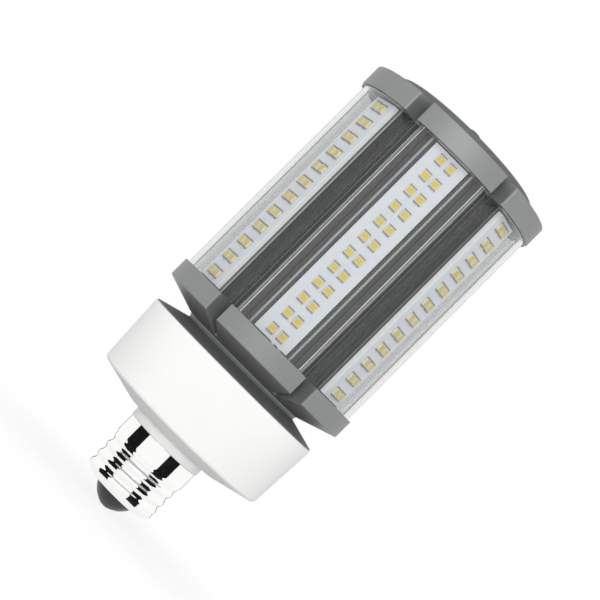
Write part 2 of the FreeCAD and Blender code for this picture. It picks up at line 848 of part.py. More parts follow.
save("centre_contact", centre_contact())
save("cap_insulator", cap_insulator())
save("screw_shell", screw_shell())
save("driver_housing", driver_housing())
save("housing_lid", housing_lid())
save("lower_end_frame", lower_end_frame())
save("upper_end_frame", upper_end_frame())
save("heat_sink", heat_sink())
for lobe in range(lobe_count):
    save("led_board_%d" % (lobe + 1), on_lobe(led_board(), lobe))
    save("led_packages_%d" % (lobe + 1), on_lobe(led_packages(), lobe))
    save("lens_cover_%d" % (lobe + 1), on_lobe(lens_cover(), lobe))
save("top_lid", top_lid())
save("top_screw", top_screw())
save("upper_frame_screws", upper_frame_screws())
save("lower_frame_screws", lower_frame_screws())
save("driver_board", driver_board())
save("driver_screws", driver_screws())
save("transformer_core", transformer_core())
save("transformer_coil", transformer_coil())
save("input_capacitor", can(input_capacitor_radius, input_capacitor_height, input_capacitor_angle))
save("output_capacitor", can(output_capacitor_radius, output_capacitor_height, output_capacitor_angle))
save("choke", can(choke_radius, choke_height, choke_angle))
save("filter_capacitor", filter_capacitor())
save("fuse", fuse())
save("bridge_rectifier", flat_chip(rectifier_width, rectifier_depth, rectifier_height, rectifier_angle))
save("controller_chip",
     flat_chip(controller_width, controller_depth, controller_height, controller_angle))
save("switching_transistor",
     flat_chip(transistor_width, transistor_depth, transistor_height, transistor_angle))
save("line_wire", line_wire())
save("neutral_wire", neutral_wire())
save("output_wires", output_wires())
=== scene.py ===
import bpy
import bmesh
import math
from mathutils import Matrix, Vector


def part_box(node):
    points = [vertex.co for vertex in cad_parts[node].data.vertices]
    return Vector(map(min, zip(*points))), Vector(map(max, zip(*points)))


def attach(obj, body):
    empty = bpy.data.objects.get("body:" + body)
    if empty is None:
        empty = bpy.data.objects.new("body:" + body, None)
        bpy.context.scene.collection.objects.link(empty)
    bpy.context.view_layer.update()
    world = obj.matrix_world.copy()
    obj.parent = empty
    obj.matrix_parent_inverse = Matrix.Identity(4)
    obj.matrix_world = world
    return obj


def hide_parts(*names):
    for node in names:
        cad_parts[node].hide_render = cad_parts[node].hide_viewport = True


# Corn LED bulb, standing on the tip of its contact. Pieces are drawn in millimetres and
# stored in metres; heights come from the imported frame, so everything lands where the CAD says.

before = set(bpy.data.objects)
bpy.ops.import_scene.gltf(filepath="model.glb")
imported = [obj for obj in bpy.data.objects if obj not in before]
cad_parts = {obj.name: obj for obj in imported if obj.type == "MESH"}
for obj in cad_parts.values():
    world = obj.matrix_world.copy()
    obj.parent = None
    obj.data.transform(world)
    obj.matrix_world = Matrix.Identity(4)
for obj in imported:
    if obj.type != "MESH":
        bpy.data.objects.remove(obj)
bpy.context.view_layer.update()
mm = 0.001
lobeCount = 6
lobeTurn = 2 * math.pi / lobeCount


def lowZ(node):
    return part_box(node)[0].z / mm


def highZ(node):
    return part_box(node)[1].z / mm


# Small tools for the modelling

def pickNothing():
    if bpy.context.mode != 'OBJECT':
        bpy.ops.object.mode_set(mode='OBJECT')
    bpy.ops.object.select_all(action='DESELECT')


def pickOnly(piece):
    pickNothing()
    bpy.context.view_layer.objects.active = piece
    piece.select_set(True)


def unitCube():
    pickNothing()
    bpy.ops.mesh.primitive_cube_add(size=1)
    return bpy.context.object


def cutAway(piece, tool):  # takes the tool's shape out of the piece, then removes the tool
    cut = piece.modifiers.new("cut", 'BOOLEAN')
    cut.object = tool
    cut.operation = 'DIFFERENCE'
    pickOnly(piece)
    bpy.ops.object.modifier_apply(modifier=cut.name)
    bpy.data.objects.remove(tool)


def startOutline(name, points):  # a ring of vertices laid on the points, open in edit mode
    pickNothing()
    bpy.ops.mesh.primitive_circle_add(vertices=len(points), radius=mm, fill_type='NOTHING')
    piece = bpy.context.object
    piece.name = piece.data.name = name
    for vertex, point in zip(piece.data.vertices, points):
        vertex.co = Vector(point[:3]) * mm
    bpy.ops.object.mode_set(mode='EDIT')
    bpy.ops.mesh.select_all(action='DESELECT')
    return piece


def pickNear(piece, places, reach=0.01):  # vertices that lie on the given places, in mm
    mesh = bmesh.from_edit_mesh(piece.data)
    for vertex in mesh.verts:
        vertex.select = any((vertex.co / mm - place).length < reach for place in places)
    mesh.select_flush(True)
    bmesh.update_edit_mesh(piece.data)


def roundCorners(piece, corners, segments=5):  # (place, radius) all the way round the outline
    reaches = {}
    for i, (place, radius) in enumerate(corners):
        if radius:
            before = Vector(corners[i - 1][0]) - Vector(place)
            after = Vector(corners[(i + 1) % len(corners)][0]) - Vector(place)
            reach = radius / math.tan(before.angle(after) / 2)
            reaches.setdefault(round(reach, 4), []).append(Vector(place))
    for reach, places in reaches.items():
        pickNear(piece, places)
        bpy.ops.mesh.bevel(affect='VERTICES', offset_type='OFFSET', offset=reach * mm,
                           segments=segments, clamp_overlap=True)


def closeUp(piece, sharpAngle=30):  # merge, face outwards, shade
    bpy.ops.mesh.select_all(action='SELECT')
    bpy.ops.mesh.remove_doubles(threshold=1e-6)
    bpy.ops.mesh.delete_loose(use_verts=True, use_edges=True, use_faces=False)
    bpy.ops.mesh.select_all(action='SELECT')
    bpy.ops.mesh.normals_make_consistent(inside=False)
    bpy.ops.object.mode_set(mode='OBJECT')
    bpy.ops.object.shade_smooth_by_angle(angle=math.radians(sharpAngle))


def turned(name, profile, steps=96, sharpAngle=30):  # profile: (radius, z[, corner]) in mm
    piece = startOutline(name, [(p[0], 0, p[1]) for p in profile])
    roundCorners(piece, [((p[0], 0, p[1]), p[2] if len(p) > 2 else 0) for p in profile])
    bpy.ops.mesh.select_all(action='SELECT')
    bpy.ops.mesh.spin(steps=steps, angle=2 * math.pi, center=(0, 0, 0), axis=(0, 0, 1))
    closeUp(piece, sharpAngle)
    return piece


def extruded(name, outline, zLow, zHigh, sharpAngle=30):  # outline: (x, y[, corner]) in mm
    piece = startOutline(name, [(p[0], p[1], zLow) for p in outline])
    roundCorners(piece, [((p[0], p[1], zLow), p[2] if len(p) > 2 else 0) for p in outline])
    bpy.ops.mesh.select_all(action='SELECT')
    bpy.ops.mesh.edge_face_add()
    bpy.ops.mesh.extrude_region_move(TRANSFORM_OT_translate={"value": (0, 0, (zHigh - zLow) * mm)})
    closeUp(piece, sharpAngle)
    return piece


def softEdges(piece, width, segments=2, angle=30):  # the small radius that a mould or a die leaves
    pickOnly(piece)
    bevel = piece.modifiers.new("softEdges", 'BEVEL')
    bevel.width = width * mm
    bevel.segments = segments
    bevel.limit_method = 'ANGLE'
    bevel.angle_limit = math.radians(angle)
    bpy.ops.object.modifier_apply(modifier=bevel.name)
    bpy.ops.object.shade_smooth_by_angle(angle=math.radians(angle))


def lobePoint(offset, distance, lobe=0):  # sideways offset and distance from the axis; lobe 0 is at -Y
    turn = -math.pi / 2 + lobe * lobeTurn
    return (distance * math.cos(turn) - offset * math.sin(turn),
            distance * math.sin(turn) + offset * math.cos(turn))


def roundTheLobes(half, valley):  # full outline from half a lobe of (offset, distance, corner)
    outline = []
    for lobe in range(lobeCount):
        outline += [(*lobePoint(-t, n, lobe), corner) for t, n, corner in reversed(half)]
        outline += [(*lobePoint(t, n, lobe), corner) for t, n, corner in half]
        outline.append((*lobePoint(valley[0], valley[1], lobe), valley[2]))
    return outline


def onLobe(piece, lobe, name):  # a copy with its own mesh, turned to another lobe
    copy = piece.copy()
    copy.data = piece.data.copy()
    copy.name = copy.data.name = name
    bpy.context.collection.objects.link(copy)
    copy.data.transform(Matrix.Rotation(lobe * lobeTurn, 4, 'Z'))
    return copy


def evenShading(piece):  # large faces set the normals, so rounded edges don't tint them
    pickOnly(piece)
    weighted = piece.modifiers.new("evenShading", 'WEIGHTED_NORMAL')
    weighted.keep_sharp = True
    bpy.ops.object.modifier_apply(modifier=weighted.name)


def finishPiece(piece, material, slotName, *nodes):
    evenShading(piece)
    if not piece.data.materials:
        piece.data.materials.append(material)
    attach(piece, "root")
    if nodes:
        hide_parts(*nodes)


# Materials

def hexColor(code):  # sRGB hex to linear
    values = [int(code[i:i + 2], 16) / 255 for i in (1, 3, 5)]
    return (*[v / 12.92 if v <= 0.04045 else ((v + 0.055) / 1.055) ** 2.4 for v in values], 1)


def addNode(tree, kind, settings=None, links=None):
    node = tree.nodes.new(kind)
    for key, value in (settings or {}).items():
        if isinstance(key, int) or key in node.inputs:
            node.inputs[key].default_value = value
        else:
            setattr(node, key, value)
    for key, socket in (links or {}).items():
        tree.links.new(socket, node.inputs[key])
    return node


def newMaterial(name, **settings):  # Principled shader with its steady values set on its own sockets
    material = bpy.data.materials.new(name)
    material.use_nodes = True
    tree = material.node_tree
    shader = tree.nodes["Principled BSDF"]
    for key, value in settings.items():
        shader.inputs[key].default_value = value
    place = addNode(tree, 'ShaderNodeTexCoord').outputs["Object"]
    return material, tree, shader, place


def noise(tree, place, size, detail):  # cloud that repeats about every size mm
    settings = {"Scale": 1 / (size * mm), "Detail": detail}
    return addNode(tree, 'ShaderNodeTexNoise', settings, {"Vector": place}).outputs["Fac"]


def drawnOut(tree, place, scale):  # turns a cloud into lines, along the axis with the small scale
    return addNode(tree, 'ShaderNodeMapping', {"Scale": scale}, {"Vector": place}).outputs[0]


def driftingColor(tree, shader, cloud, dark, light):
    settings = {"data_type": 'RGBA', 6: hexColor(dark), 7: hexColor(light)}
    color = addNode(tree, 'ShaderNodeMix', settings, {0: cloud})
    tree.links.new(color.outputs[2], shader.inputs["Base Color"])


def driftingGloss(tree, shader, cloud, low, high):
    rough = addNode(tree, 'ShaderNodeMapRange', {"To Min": low, "To Max": high}, {"Value": cloud})
    tree.links.new(rough.outputs[0], shader.inputs["Roughness"])


def unevenFace(tree, shader, cloud, strength, height):
    bump = addNode(tree, 'ShaderNodeBump', {"Strength": strength, "Distance": height * mm}, {"Height": cloud})
    tree.links.new(bump.outputs[0], shader.inputs["Normal"])


# Nickel plated brass, rolled: bright mirror with fine rolling lines round it
def nickelPlate():
    material, tree, shader, place = newMaterial("nickelPlatedBrass", Metallic=1.0)
    lines = noise(tree, drawnOut(tree, place, (0.15, 0.15, 1)), 0.4, 2.0)
    cloud = noise(tree, place, 5, 3.0)
    driftingColor(tree, shader, cloud, "#f9f8f7", "#fdfdfc")
    driftingGloss(tree, shader, lines, 0.03, 0.07)
    return material


# Black glass of the cap's insulator: deep black with a wet gloss and slight waves
def blackGlass():
    material, tree, shader, place = newMaterial("blackCapGlass", IOR=1.52)
    waves = noise(tree, place, 2.5, 2.0)
    driftingColor(tree, shader, waves, "#131314", "#2a2a2c")
    driftingGloss(tree, shader, waves, 0.18, 0.34)
    unevenFace(tree, shader, waves, 0.25, 0.15)
    return material


# Tinned contact: dark grey metal, dulled and a little uneven where the solder flowed
def tinnedContact():
    material, tree, shader, place = newMaterial("tinnedContact", Metallic=1.0)
    flow = noise(tree, place, 1.6, 4.0)
    driftingColor(tree, shader, flow, "#333334", "#505053")
    driftingGloss(tree, shader, flow, 0.32, 0.55)
    unevenFace(tree, shader, flow, 0.3, 0.12)
    return material


# Moulded plastic or powder coat: one colour with a fine grain and a faint cloud in it
def mouldedPlastic(name, dark, light, grain, roughLow, roughHigh, grainHeight, metallic=0.0):
    material, tree, shader, place = newMaterial(name, IOR=1.5, Metallic=metallic)
    driftingColor(tree, shader, noise(tree, place, 18, 3.0), dark, light)
    spark = noise(tree, place, grain, 3.0)
    driftingGloss(tree, shader, spark, roughLow, roughHigh)
    unevenFace(tree, shader, spark, 0.5, grainHeight)
    return material


# Aluminium extrusion in matt dark grey paint, with faint die lines that run the whole length; its grey is
# partly its own colour and partly painted shade for its deep valleys and channels
def shadedExtrusion():
    material, tree, shader, place = newMaterial("shadedExtrusion", IOR=1.5)
    lines = noise(tree, drawnOut(tree, place, (1, 1, 0.002)), 0.5, 3.0)
    driftingColor(tree, shader, lines, "#383938", "#3e3f3e")
    driftingGloss(tree, shader, lines, 0.62, 0.7)
    unevenFace(tree, shader, lines, 0.1, 0.001)
    return material


# Clear acrylic extrusion: a breath of grey in it, with faint draw lines along it
def clearAcrylic():
    material, tree, shader, place = newMaterial("clearAcrylic", **{
        "Base Color": hexColor("#eaebeb"), "IOR": 1.49, "Roughness": 0.0, "Transmission Weight": 1.0})
    lines = noise(tree, drawnOut(tree, place, (1, 1, 0.01)), 0.8, 2.0)
    unevenFace(tree, shader, lines, 0.02, 0.001)
    # the eye sees glass, while light that lands on the board or leaves it passes straight through
    path = addNode(tree, 'ShaderNodeLightPath')
    scattered = addNode(tree, 'ShaderNodeMath', {"operation": 'GREATER_THAN', 1: 0.5},
                        {0: path.outputs["Diffuse Depth"]})
    through = addNode(tree, 'ShaderNodeMath', {"operation": 'MAXIMUM'},
                      {0: path.outputs["Is Shadow Ray"], 1: scattered.outputs[0]})
    clear = addNode(tree, 'ShaderNodeBsdfTransparent', {"Color": hexColor("#f6f7f7")})
    blend = addNode(tree, 'ShaderNodeMixShader', None,
                    {0: through.outputs[0], 1: shader.outputs[0], 2: clear.outputs[0]})
    tree.links.new(blend.outputs[0], tree.nodes["Material Output"].inputs["Surface"])
    return material


# White solder mask on an aluminium board: cool white, with the copper islands just showing
def whiteSolderMask():
    material, tree, shader, place = newMaterial("whiteSolderMask", IOR=1.5)
    islands = noise(tree, place, 6, 1.0)
    driftingColor(tree, shader, islands, "#dfe3ea", "#e8ebf0")
    driftingGloss(tree, shader, islands, 0.6, 0.7)
    return material


# Plain speckled finish for the small parts: a colour that drifts a little, and its gloss with it
def speckled(name, dark, light, speck, roughLow, roughHigh, metallic=0.0):
    material, tree, shader, place = newMaterial(name, Metallic=metallic)
    specks = noise(tree, place, speck, 2.0)
    driftingColor(tree, shader, specks, dark, light)
    driftingGloss(tree, shader, specks, roughLow, roughHigh)
    return material


nickel = nickelPlate()
capGlass = blackGlass()
contactMetal = tinnedContact()
# warm white shell, almost matt, with a grain too fine to count
whitePlastic = mouldedPlastic("whiteMouldedPbt", "#e8e8e7", "#ececeb", 0.5, 0.5, 0.6, 0.01)
# mid grey coat on the end frames, with a soft metallic sheen where a face turns to the light
satinGrey = mouldedPlastic("satinGreyCoat", "#818382", "#888a89", 0.25, 0.44, 0.52, 0.02, 0.5)
# darker and duller grey of the two lids, without the sheen
lidPlastic = mouldedPlastic("darkLidPlastic", "#5c5e5d", "#636564", 0.25, 0.5, 0.6, 0.02)
# dark grey of the heat sink, partly painted shade for its valleys and channels
extrusionShadedGrey = shadedExtrusion()
# paler grey on the tops of the heat sink's lips and the seats of the covers' feet: a painted highlight for
# the light that these outward faces catch
lipHighlightGrey = speckled("lipHighlightGrey", "#9a9c9b", "#a4a6a5", 3, 0.5, 0.6)
clearCover = clearAcrylic()
boardWhite = whiteSolderMask()
# bare white cut through the board: the bright line beside the boards that are seen from the side
boardEdge = speckled("cutBoardEdge", "#f8f8f8", "#ffffff", 0.8, 0.4, 0.5)
# cream frame of a package, round its window
ledBody = speckled("ledPaleResin", "#ddd5b2", "#e6dfc2", 0.6, 0.35, 0.45)
# yellow window of a package, the strongest colour on the lamp
ledPhosphor = speckled("ledPhosphorGel", "#dcc14e", "#e6cd62", 0.5, 0.4, 0.55)
# small grey shine above and below each package
ledLead = speckled("ledTinnedLead", "#8f8783", "#a39c98", 0.4, 0.4, 0.55, 0.3)
# pale bright steel of the screws inside
zincPlate = speckled("zincPlatedSteel", "#a9a9a6", "#bdbdba", 0.5, 0.28, 0.4, 1.0)
# dark screw head on the top lid, with a dull shine
blackenedSteel = speckled("blackenedSteel", "#4e5050", "#5c5e5e", 0.5, 0.35, 0.5, 0.6)
print("materials made")


# Screw cap: contact, insulator and rolled shell

capSizes = dict(
    contactDome=((0, 0), (0.9, 0.04), (1.7, 0.25), (2.5, 0.6), (3.3, 1.02), (4.0, 1.45)),
    contactRadius=4.6, contactDrop=1.8, rivetRadius=1.1, rivetGap=0.05,
    insulatorFlank=((5.25, 2.42), (5.85, 3.05), (6.4, 3.72), (6.85, 4.4), (7.2, 5.05)),
    insulatorFoot=7.85, insulatorFlange=9.9, flangeThick=1.8,
    crest=13.10, skirt=13.50, sheet=0.3, floorCurve=2.8, floorHole=7.95,
    skirtLength=7.1, skirtStep=0.5, skirtRow=0.6, skirtRows=11, skirtEdge=0.12, threadRow=0.16,
    pitch=25.4 / 7, depth=0.68, rootAtBack=8.70, threadStart=7.6, threadFull=9.4,
    threadFade=17.4, threadEnd=19.5)


def centreContact(s):
    top = highZ("centre_contact")
    piece = turned("centreContact", [
        *s["contactDome"], (s["contactRadius"], s["contactDrop"]),
        (s["rivetRadius"], s["contactDrop"]), (s["rivetRadius"], top), (0, top)], steps=64)
    finishPiece(piece, contactMetal, "contact", "centre_contact")


def capInsulator(s):
    shellFoot = lowZ("screw_shell")
    flange = shellFoot + s["sheet"]
    top = flange + s["flangeThick"]
    bore = s["rivetRadius"] + s["rivetGap"]
    piece = turned("capInsulator", [
        (bore, s["contactDrop"]), (s["contactRadius"], s["contactDrop"]),
        *s["insulatorFlank"], (s["insulatorFoot"], shellFoot),
        (s["insulatorFoot"], flange), (s["insulatorFlange"], flange),
        (s["insulatorFlange"], top), (bore, top)])
    finishPiece(piece, capGlass, "insulator", "cap_insulator")


def rolledIn(s, angle, z):  # how deep the thread is rolled at one place of the shell
    fade = (min(max((z - s["threadStart"]) / (s["threadFull"] - s["threadStart"]), 0), 1)
            * min(max((s["threadEnd"] - z) / (s["threadEnd"] - s["threadFade"]), 0), 1))
    fade = fade * fade * (3 - 2 * fade)
    turns = (z - s["rootAtBack"]) / s["pitch"] - (angle - math.pi / 2) / (2 * math.pi)
    return s["depth"] * fade * (0.5 + 0.5 * math.cos(2 * math.pi * turns))


def screwShell(s):
    low, high = lowZ("screw_shell"), highZ("screw_shell")
    skirtFoot = high - s["skirtLength"]
    sheet = s["sheet"]
    rows = int((skirtFoot - low - s["floorCurve"]) / s["threadRow"]) + 1
    wall = [low + s["floorCurve"] + s["threadRow"] * i for i in range(rows)][2:]  # clear of the curve
    skirt = [skirtFoot + s["skirtStep"] + s["skirtRow"] * i for i in range(s["skirtRows"])]
    profile = [(s["floorHole"], low), (s["crest"], low, s["floorCurve"])]
    profile += [(s["crest"], z) for z in wall]
    profile += [(s["skirt"], z) for z in skirt] + [(s["skirt"], high, s["skirtEdge"])]
    profile += [(s["skirt"] - sheet, high), (s["skirt"] - sheet, skirt[0])]
    profile += [(s["crest"] - sheet, z) for z in reversed(wall)]
    profile += [(s["crest"] - sheet, low + sheet, s["floorCurve"] - sheet), (s["floorHole"], low + sheet)]
    piece = turned("screwShell", profile, steps=192, sharpAngle=40)
    for vertex in piece.data.vertices:  # the thread is rolled into the turned blank
        x, y, z = vertex.co / mm
        radius = math.hypot(x, y)
        if radius > s["crest"] - s["floorCurve"]:
            share = (radius - rolledIn(s, math.atan2(y, x), z)) / radius
            vertex.co.x *= share
            vertex.co.y *= share
    finishPiece(piece, nickel, "screw_cap_metal", "screw_shell")


centreContact(capSizes)
capInsulator(capSizes)
screwShell(capSizes)
print("screw cap made")


# White driver housing and its dark lid

housingSizes = dict(
    spigotRadius=13.05, spigotBore=11.25, collar=13.88, collarEdge=0.35,
    baseFlat=18.3, coneRise=3.6, wallHeight=23.6, rim=33.7, draft=3.15, wall=1.8,
    shoulderRound=1.2, rimEdge=0.4, collarFoot=0.25, baseRound=3.0)
lidSizes = dict(
    rim=33.2, rimEdge=0.3, rimRound=0.2, coneRise=2.8, neck=22.7, neckRound=0.3, hole=7.0,
    plate=2.2, spigot=31.7, spigotDepth=4.8, spigotDraft=0.26, wall=1.6, cornerDrop=0.8)


def driverHousing(s):
    foot = lowZ("driver_housing")
    top = highZ("driver_housing")
    base = top - s["wallHeight"] - s["coneRise"]
    shoulder = top - s["wallHeight"]
    shellTop = highZ("screw_shell")
    slope = math.tan(math.radians(s["draft"]))
    shoulderRadius = s["rim"] - s["wallHeight"] * slope
    piece = turned("driverHousing", [
        (s["spigotBore"], foot), (s["spigotRadius"], foot), (s["spigotRadius"], shellTop),
        (s["collar"], shellTop, s["collarEdge"]), (s["collar"], base, s["collarFoot"]),
        (s["baseFlat"], base, s["baseRound"]),
        (shoulderRadius, shoulder, s["shoulderRound"]), (s["rim"], top, s["rimEdge"]),
        (s["rim"] - s["wall"], top, s["rimEdge"]),
        (shoulderRadius - s["wall"], shoulder + s["wall"]),
        (s["baseFlat"], base + s["wall"]), (s["spigotBore"], base + s["wall"])], steps=144)
    finishPiece(piece, whitePlastic, "white_housing", "driver_housing")


def housingLid(s):
    rimZ = highZ("driver_housing")
    top = highZ("housing_lid")
    cone = rimZ + s["rimEdge"]
    under = top - s["plate"]
    foot = rimZ - s["spigotDepth"]
    spigotTip = s["spigot"] - s["spigotDraft"]
    piece = turned("housingLid", [
        (s["hole"], under), (s["hole"], top), (s["neck"], top),
        (s["neck"], cone + s["coneRise"], s["neckRound"]), (s["rim"], cone, s["rimRound"]),
        (s["rim"], rimZ), (s["spigot"], rimZ), (spigotTip, foot), (spigotTip - s["wall"], foot),
        (s["spigot"] - s["wall"], rimZ - s["cornerDrop"]), (s["neck"], under)], steps=144)
    finishPiece(piece, lidPlastic, "dark_moulding", "housing_lid")


driverHousing(housingSizes)
housingLid(lidSizes)
print("housing made")


# End frames: discs whose rims stand in six arched faces, with a tapered notch between each two

frameSizes = dict(
    radius=36.09, faceHalf=15.7, notchRoot=24.6, rootHalf=0.5, upperNotchFloor=28.6,
    corner=0.8, cornerSteps=5, edge=0.25, hole=6, foot=23.0, footHeight=0.7, footRound=0.15,
    under=23.6, underRise=4.1, notchOverrun=4, notchOverlap=2)


def cutNotches(piece, s, low, high, floor):
    turn = lobeTurn / 2 - math.asin(s["faceHalf"] / s["radius"])
    rim = Vector((math.cos(turn), math.sin(turn))) * s["radius"]
    taper = (rim.y - s["rootHalf"]) / (rim.x - s["notchRoot"])
    for lobe in range(lobeCount):
        tool = unitCube()
        for vertex in tool.data.vertices:  # the cube becomes the wedge that the notch leaves out
            distance = floor if vertex.co.x < 0 else s["radius"] + s["notchOverrun"]
            half = s["rootHalf"] + (distance - s["notchRoot"]) * taper
            height = low - s["notchOverlap"] if vertex.co.z < 0 else high + s["notchOverlap"]
            vertex.co = Vector((distance, 2 * vertex.co.y * half, height)) * mm
        tool.data.transform(Matrix.Rotation((lobe + 0.5) * lobeTurn - math.pi / 2, 4, 'Z'))
        cutAway(piece, tool)
    bpy.ops.object.mode_set(mode='EDIT')
    mesh = bmesh.from_edit_mesh(piece.data)
    for edge in mesh.edges:  # upright edges where a notch opens in the rim
        ends = [vertex.co / mm for vertex in edge.verts]
        upright = (ends[0] - ends[1]).xy.length < 0.01
        onRim = abs(ends[0].xy.length - s["radius"]) < 0.06
        edge.select_set(upright and onRim and edge.calc_face_angle(0) > 1)
    bmesh.update_edit_mesh(piece.data)
    bpy.ops.mesh.bevel(offset_type='OFFSET', offset=s["corner"] * mm, segments=s["cornerSteps"],
                       affect='EDGES')
    bpy.ops.object.mode_set(mode='OBJECT')


def lowerEndFrame(s):
    foot = highZ("housing_lid")
    under = foot + s["footHeight"]
    top = lowZ("heat_sink")
    piece = turned("lowerEndFrame", [
        (s["hole"], foot), (s["foot"], foot, s["footRound"]), (s["foot"], under), (s["under"], under),
        (s["radius"], under + s["underRise"]), (s["radius"], top), (s["hole"], top)], steps=180)
    cutNotches(piece, s, under, top, s["notchRoot"])
    softEdges(piece, s["edge"], 3)
    finishPiece(piece, satinGrey, "dark_moulding", "lower_end_frame")


def upperEndFrame(s):
    low, high = highZ("heat_sink"), highZ("upper_end_frame")
    piece = turned("upperEndFrame", [
        (s["hole"], low), (s["radius"], low), (s["radius"], high), (s["hole"], high)], steps=180)
    cutNotches(piece, s, low, high, s["upperNotchFloor"])
    softEdges(piece, s["edge"], 3)
    finishPiece(piece, satinGrey, "dark_moulding", "upper_end_frame")


lowerEndFrame(frameSizes)
upperEndFrame(frameSizes)
print("end frames made")


# Extruded heat sink: the part's section, but with the lips below the boards' faces, as the photo
# shows them; the part's own lips stand 1.9 mm higher

sinkSizes = dict(
    coverHalf=13.6, coverWall=1.2, hook=0.9, hookHeight=1.1, snap=0.1,
    flankFoot=23.556, flankHeight=1.45, valleyRound=0.7, boardHalf=6.5, lipOffset=1.2,
    lipWidth=0.8, lipRise=-1.0, shoulder=0.6, groove=0.5, boardFace=29.906, boardThick=1.2,
    edge=0.12)


def sinkOutline(s):
    wallInner = s["coverHalf"] - s["coverWall"] - s["snap"]
    hookTip = wallInner - s["hook"]
    lipInner = s["boardHalf"] + s["lipOffset"]
    lipOuter = lipInner + s["lipWidth"]
    grooveFloor = s["flankFoot"] + s["flankHeight"]
    shoulderUnder = grooveFloor + s["snap"] + s["hookHeight"] + s["snap"]
    shelf = shoulderUnder + s["shoulder"]
    seat = s["boardFace"] - s["boardThick"]
    lipTop = s["boardFace"] + s["lipRise"]
    grooveAt = (lipOuter + hookTip + s["snap"]) / 2
    half = [(lipInner, seat, 0), (lipInner, lipTop, 0), (lipOuter, lipTop, 0), (lipOuter, shelf, 0),
            (grooveAt - s["groove"] / 2, shelf, 0), (grooveAt, shelf - s["groove"], 0),
            (grooveAt + s["groove"] / 2, shelf, 0), (wallInner, shelf, 0),
            (wallInner, shoulderUnder, 0), (hookTip, shoulderUnder, 0), (hookTip, grooveFloor, 0),
            (s["coverHalf"], grooveFloor, 0)]
    return roundTheLobes(half, (s["coverHalf"], s["flankFoot"], s["valleyRound"]))


def heatSink(s):
    piece = extruded("heatSink", sinkOutline(s), lowZ("heat_sink"), highZ("heat_sink"))
    softEdges(piece, s["edge"], 2, 40)
    piece.data.materials.append(extrusionShadedGrey)
    piece.data.materials.append(lipHighlightGrey)
    lipTop = s["boardFace"] + s["lipRise"]
    grooveFloor = s["flankFoot"] + s["flankHeight"]
    # the lips' tops and the covers' seats take the paler grey, as a painted highlight
    for face in piece.data.polygons:  # tops of the lips, and the seats of the covers' feet
        for lobe in range(lobeCount):
            outward = Vector((*lobePoint(0, 1, lobe), 0))
            distance = face.center.dot(outward) / mm
            near = min(abs(distance - lipTop), abs(distance - grooveFloor))
            if face.normal.dot(outward) > 0.9 and near < s["edge"]:
                face.material_index = 1
    finishPiece(piece, extrusionShadedGrey, "heat_sink_metal", "heat_sink")


heatSink(sinkSizes)
print("heat sink made")


# LED boards and their packages

boardSizes = dict(half=6.5, face=29.906, thick=1.2, edge=0.15)
packageSizes = dict(
    width=2.8, length=2.4, height=0.8, rim=0.32, sink=0.12, taper=0.08, edge=0.08,
    leadWidth=2.6, leadReach=0.55, leadHeight=0.7, columnPitch=4.0, rowPitch=6.4, rows=12)


def ledBoards(s):
    low, high = lowZ("led_board_1"), highZ("led_board_1")
    outline = [(-s["half"], -s["face"]), (s["half"], -s["face"]),
               (s["half"], s["thick"] - s["face"]), (-s["half"], s["thick"] - s["face"])]
    first = extruded("ledBoard1", outline, low, high)
    softEdges(first, s["edge"], 2)
    first.data.materials.append(boardWhite)
    first.data.materials.append(boardEdge)
    for face in first.data.polygons:  # the long cut edges
        if abs(face.normal.x) > 0.6:
            face.material_index = 1
    boards = [first] + [onLobe(first, lobe, "ledBoard%d" % (lobe + 1)) for lobe in range(1, lobeCount)]
    for lobe, board in enumerate(boards):
        finishPiece(board, boardWhite, "led_board_white", "led_board_%d" % (lobe + 1))


def ledPackage(p):  # one package at the origin, its face to -Y
    body = unitCube()
    body.data.transform(Matrix.Diagonal((p["width"] * mm, p["height"] * mm, p["length"] * mm, 1)))
    body.data.transform(Matrix.Translation((0, -p["height"] / 2 * mm, 0)))
    for material in (ledBody, ledPhosphor, ledLead):
        body.data.materials.append(material)
    bpy.ops.object.mode_set(mode='EDIT')
    bpy.ops.mesh.select_all(action='DESELECT')
    pickNear(body, [Vector((x * p["width"] / 2, -p["height"], z * p["length"] / 2))
                    for x in (-1, 1) for z in (-1, 1)])
    bpy.ops.mesh.inset(thickness=p["rim"] * mm)
    body.active_material_index = 1
    bpy.ops.object.material_slot_assign()
    bpy.ops.mesh.inset(thickness=p["taper"] * mm, depth=-p["sink"] * mm)
    bpy.ops.object.mode_set(mode='OBJECT')
    softEdges(body, p["edge"], 1, 60)
    body.active_material_index = 2
    for end in (-1, 1):  # tinned lead under each end
        lead = unitCube()
        lead.data.transform(Matrix.Diagonal((p["leadWidth"] * mm, p["leadHeight"] * mm,
                                             p["leadReach"] * mm, 1)))
        lead.data.transform(Matrix.Translation((0, -p["leadHeight"] / 2 * mm,
                                                end * (p["length"] + p["leadReach"]) / 2 * mm)))
        lead.data.materials.append(ledLead)
        body.select_set(True)
        bpy.context.view_layer.objects.active = body
        bpy.ops.object.join()
    return body


def ledPackages(p, s):
    seed = ledPackage(p)
    middle = (lowZ("led_board_1") + highZ("led_board_1")) / 2
    copies = []
    for row in range(p["rows"]):
        for side in (-1, 1):
            copy = seed.copy()
            copy.data = seed.data.copy()
            bpy.context.collection.objects.link(copy)
            z = middle + (row - (p["rows"] - 1) / 2) * p["rowPitch"]
            copy.data.transform(Matrix.Translation(
                Vector((side * p["columnPitch"] / 2, -s["face"], z)) * mm))
            copies.append(copy)
    pickNothing()
    for copy in copies:
        copy.select_set(True)
    bpy.context.view_layer.objects.active = copies[0]
    bpy.ops.object.join()
    first = bpy.context.object
    first.name = first.data.name = "ledPackages1"
    bpy.data.objects.remove(seed)
    rows = [first] + [onLobe(first, lobe, "ledPackages%d" % (lobe + 1)) for lobe in range(1, lobeCount)]
    for lobe, piece in enumerate(rows):
        finishPiece(piece, ledBody, "led_package", "led_packages_%d" % (lobe + 1))


ledBoards(boardSizes)
ledPackages(packageSizes, boardSizes)
print("boards and packages made")


# Clear covers

